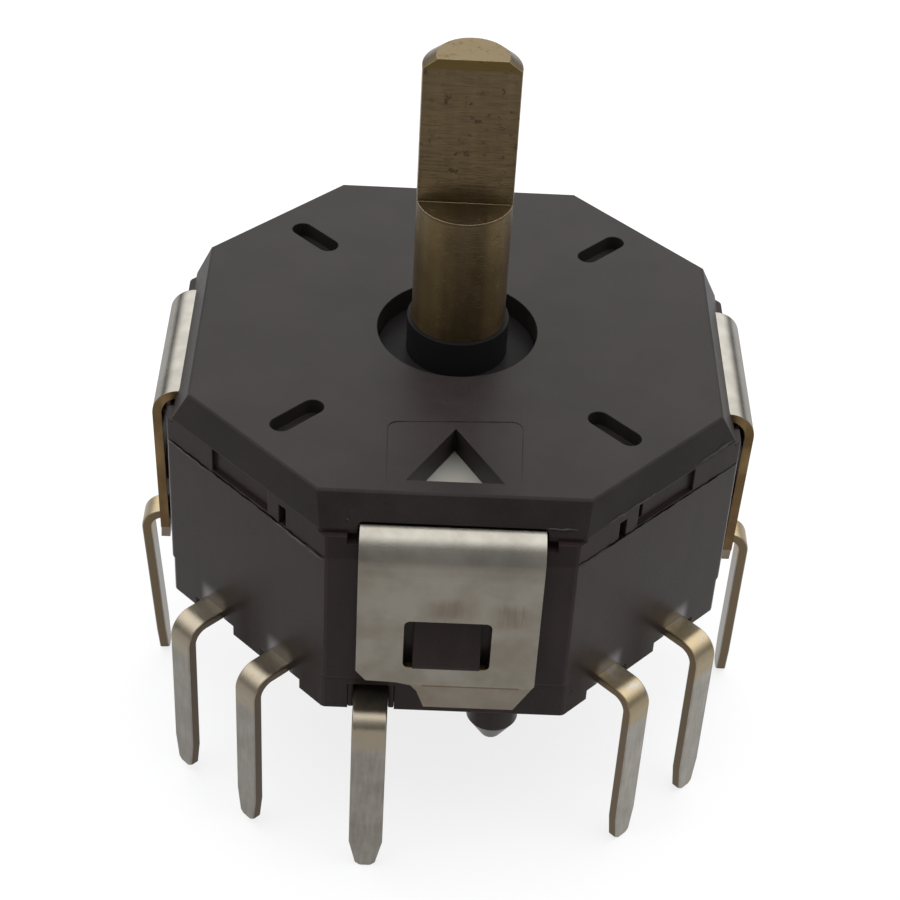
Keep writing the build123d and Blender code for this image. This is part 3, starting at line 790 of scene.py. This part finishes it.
class StageSettings(bpy.types.PropertyGroup):
    """Camera, floor and lights."""

    lens: bpy.props.FloatProperty(
        name="Lens", description="Focal length on a 36 mm sensor", default=87.36, unit="CAMERA"
    )
    turn: angle_setting("Turn", "Camera's turn about the vertical", radians(1.62))
    pitch: angle_setting("Pitch", "How far the camera looks down", radians(39.39))
    roll: angle_setting("Roll", "Camera's roll about its line of sight", radians(3.42))
    depth: length_setting("Depth", "Distance of the cover's top from the camera", 93.85 * MM)
    rise: length_setting("Rise", "How far the cover's top is above the frame's middle", 5.245 * MM)
    side: length_setting("Side", "How far the cover's middle is right of the frame's", 0.312 * MM)
    floor_tone: colour_setting("Floor", "Colour of the floor", (0.14, 0.14, 0.14))
    floor_glow: light_setting("Floor glow", "Light from the floor", 0.78)
    roof_light: light_setting("Roof", "Light above and behind", 2.85)
    fill_light: light_setting("Fill", "Light from high in front", 0.35)
    dim_light: light_setting("Dim", "Light from everywhere", 0.2)


# Operators --------------------------------------------------------------------------------


class ENCODER_OT_housing(bpy.types.Operator):
    """Finish the moulded base, cover and rotor, and add the ribs beside the front terminal"""

    bl_idname = "encoder.housing"
    bl_label = "Finish housing"

    def execute(self, context):
        tones = context.scene.encoder_housing
        soft = tones.edge_round / MM
        # Browner tone for the cover's upright wall under the band, painted light.
        brown = [v * 1.1 for v in tones.base_dark]
        cover = moulded_plastic(
            "cover_plastic", tones.cover_dark, tones.cover_light,
            rough=0.4, soft=soft, streaks=0.1, gloss=0.07, wall=brown,
        )
        base = moulded_plastic(
            "base_plastic", tones.base_dark, tones.base_light,
            rough=0.3, soft=soft, streaks=0.35, gloss=0.09, pins=True,
        )
        black = moulded_plastic(
            "rotor_plastic", tones.rotor_black, tones.rotor_black,
            rough=0.35, soft=0.05, streaks=0.0, gloss=0.02,
        )
        give(cover, "cover")
        give(base, "base")
        for name, along in RIBS.items():
            rib(name, along, tones.rib_height / MM).data.materials.append(base)
        give(black, "rotor")
        return {"FINISHED"}


class ENCODER_OT_flash(bpy.types.Operator):
    """Make the flash, burrs and painted shadow in the joints at the cover's edges and the line
    round the index insert
    """

    bl_idname = "encoder.flash"
    bl_label = "Make flash"

    def execute(self, context):
        tones = context.scene.encoder_housing
        recipes = {
            "pale": ("flash_plastic", tones.flash, tones.flash, 0.4, 0.1),
            "dull": ("burr_plastic", tones.burr, tones.burr, 0.4, 0.05),
            # The dark finish paints the shadow in the joint.
            "dark": ("joint_shadow_line", tones.joint_shadow, tones.joint_shadow, 0.8, 0.0),
            "line": ("witness_plastic", tones.witness, tones.cover_dark, 0.4, 0.1),
        }
        finishes = {
            key: moulded_plastic(name, dark, light, rough, soft=0.02, streaks=0.0, gloss=gloss)
            for key, (name, dark, light, rough, gloss) in recipes.items()
        }
        for number, (name, thread) in enumerate(THREADS.items()):
            outward = turned(np.array([1.0, 0.0, 0.0]), SIDES[thread.side])
            path = thread_path(thread, number)
            piece = bead(name, path, outward, thread.size, 1.0, number)
            piece.data.materials.append(finishes[thread.finish])
        upward = np.array([0.0, 0.0, 1.0])
        # The line's darker tone is painted shade.
        piece = bead("witness_line", insert_outline(), upward, tones.line_size / MM, 0.9, 3)
        piece.data.materials.append(finishes["line"])
        return {"FINISHED"}


class ENCODER_OT_retainer(bpy.types.Operator):
    """Finish the plated retainer plate"""

    bl_idname = "encoder.retainer"
    bl_label = "Finish retainer"

    def execute(self, context):
        give(plated_sheet("plated_sheet", context.scene.encoder_metal), "retainer_plate")
        return {"FINISHED"}


class ENCODER_OT_shaft(bpy.types.Operator):
    """Finish the brass shaft"""

    bl_idname = "encoder.shaft"
    bl_label = "Finish shaft"

    def execute(self, context):
        give(turned_brass("turned_brass", context.scene.encoder_metal), "shaft")
        return {"FINISHED"}


class ENCODER_OT_terminals(bpy.types.Operator):
    """Make and finish the twelve terminals"""

    bl_idname = "encoder.terminals"
    bl_label = "Make terminals"

    def execute(self, context):
        metal = context.scene.encoder_metal
        for name, pin in pin_table().items():
            tin = tinned_strip(f"tin_{name}", metal, pin)
            give(tin, name)
            piece = strip_pin(name.replace("terminal", "pin"), pin, metal.pin_round / MM)
            piece.data.materials.append(tin)
            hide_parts(name)
        return {"FINISHED"}


class ENCODER_OT_inner_parts(bpy.types.Operator):
    """Make the coil springs and finish the contacts and balls inside the housing"""

    bl_idname = "encoder.inner_parts"
    bl_label = "Finish inner parts"

    def execute(self, context):
        metal = context.scene.encoder_metal
        contact = plain_metal("contact_bronze", metal.contact, 0.3, 3.0)
        ball = plain_metal("ball_steel", metal.steel, 0.1, 1.0)
        wire = plain_metal("spring_wire", metal.steel, 0.3, 6.0)
        give(contact, "code_pattern", *WIPERS)
        give(ball, "detent_ball_front", "detent_ball_back")
        give(wire, "detent_spring_front", "detent_spring_back")
        for end, side in (("front", "front_right"), ("back", "back_left")):
            piece = coil_spring(
                f"coil_{end}", f"detent_spring_{end}", SIDES[side], f"{end}_ball_slide",
                metal.spring_wire / MM,
            )
            piece.data.materials.append(wire)
        return {"FINISHED"}


class ENCODER_OT_stage(bpy.types.Operator):
    """Set the floor, the lights and the camera"""

    bl_idname = "encoder.stage"
    bl_label = "Set stage"

    def execute(self, context):
        scene = context.scene
        stage = scene.encoder_stage
        self.floor(scene, stage)
        self.lights(scene, stage)
        self.camera(scene, stage)
        return {"FINISHED"}

    def floor(self, scene, stage):
        """Plain pale floor under the pins' tips."""
        reach, height = 3.0, cad_box[0][2]
        corners = [(-reach, -reach), (reach, -reach), (reach, reach), (-reach, reach)]
        mesh = bpy.data.meshes.new("floor")
        mesh.from_pydata([(*corner, height) for corner in corners], [], [(0, 1, 2, 3)])
        ground = bpy.data.objects.new("floor", mesh)
        scene.collection.objects.link(ground)
        graph = Graph.of_material("floor_paint")
        graph.set(Base_Color=stage.floor_tone, Roughness=0.9, Specular_IOR_Level=0.0)
        graph.set(Emission_Color=(1.0, 1.0, 1.0), Emission_Strength=stage.floor_glow)
        mesh.materials.append(graph.owner)

    def lights(self, scene, stage):
        """Studio tent: bright above and behind, dimmer in front, dark at the front horizon.

        With y towards the back and z up in the direction seen, the radiance is the dim level,
        plus the roof's where y is above -0.8, z above 0.1 and x between -0.98 and 0.98, plus a
        fill that grows with z.
        """
        world = bpy.data.worlds.new("studio")
        scene.world = world
        graph = Graph(world, "ShaderNodeBackground", "ShaderNodeOutputWorld")
        x, y, z = graph.split(graph.node("ShaderNodeTexCoord", output="Generated"))
        roof = y.step(-0.8, -0.05) * z.step(0.1, 0.42) * abs(x).step(0.98, 0.7)
        strength = roof * stage.roof_light + z.step(0.0, 0.7) * stage.fill_light + stage.dim_light
        graph.set(Color=(0.985, 0.99, 1.0), Strength=strength)
        scene.view_settings.view_transform = "Standard"

    def camera(self, scene, stage):
        """Camera that looks down on the index side."""
        yaw, pitch = stage.turn, stage.pitch
        ahead = Vector((sin(yaw) * cos(pitch), cos(yaw) * cos(pitch), -sin(pitch)))
        level = Vector((cos(yaw), -sin(yaw), 0.0))
        upright = level.cross(ahead)
        right = level * cos(stage.roll) + upright * sin(stage.roll)
        up = upright * cos(stage.roll) - level * sin(stage.roll)
        target = Vector((0.0, 0.0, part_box("cover")[1].z))
        place = target - ahead * stage.depth - right * stage.side - up * stage.rise
        data = bpy.data.cameras.new("camera")
        data.lens = stage.lens
        data.sensor_width = 36.0
        data.clip_start = 0.001
        camera = bpy.data.objects.new("camera", data)
        scene.collection.objects.link(camera)
        facing = Matrix((right, up, -ahead)).transposed().to_4x4()
        camera.matrix_world = Matrix.Translation(place) @ facing
        scene.camera = camera


class ENCODER_PT_panel(bpy.types.Panel):
    """Settings of the encoder, and the steps that finish it"""

    bl_idname = "ENCODER_PT_panel"
    bl_label = "Rotary encoder"
    bl_space_type = "VIEW_3D"
    bl_region_type = "UI"
    bl_category = "Encoder"

    def draw(self, context):
        for name, group in GROUPS.items():
            for key in group.__annotations__:
                self.layout.prop(getattr(context.scene, name), key)
        for step in STEPS:
            self.layout.operator(step.bl_idname)


STEPS = (
    ENCODER_OT_housing,
    ENCODER_OT_flash,
    ENCODER_OT_retainer,
    ENCODER_OT_shaft,
    ENCODER_OT_terminals,
    ENCODER_OT_inner_parts,
    ENCODER_OT_stage,
)
GROUPS = {
    "encoder_housing": HousingSettings,
    "encoder_metal": MetalSettings,
    "encoder_stage": StageSettings,
}


def register():
    """Register the settings, the steps and the panel."""
    for name, group in GROUPS.items():
        bpy.utils.register_class(group)
        setattr(bpy.types.Scene, name, bpy.props.PointerProperty(type=group))
    for step in STEPS:
        bpy.utils.register_class(step)
    bpy.utils.register_class(ENCODER_PT_panel)


def unregister():
    """Take the panel, the steps and the settings away again."""
    bpy.utils.unregister_class(ENCODER_PT_panel)
    for step in reversed(STEPS):
        bpy.utils.unregister_class(step)
    for name, group in GROUPS.items():
        delattr(bpy.types.Scene, name)
        bpy.utils.unregister_class(group)


def main():
    """Run every step in order."""
    register()
    bpy.ops.encoder.housing()
    bpy.ops.encoder.flash()
    bpy.ops.encoder.retainer()
    bpy.ops.encoder.shaft()
    bpy.ops.encoder.terminals()
    bpy.ops.encoder.inner_parts()
    bpy.ops.encoder.stage()


if __name__ == "__main__":
    main()
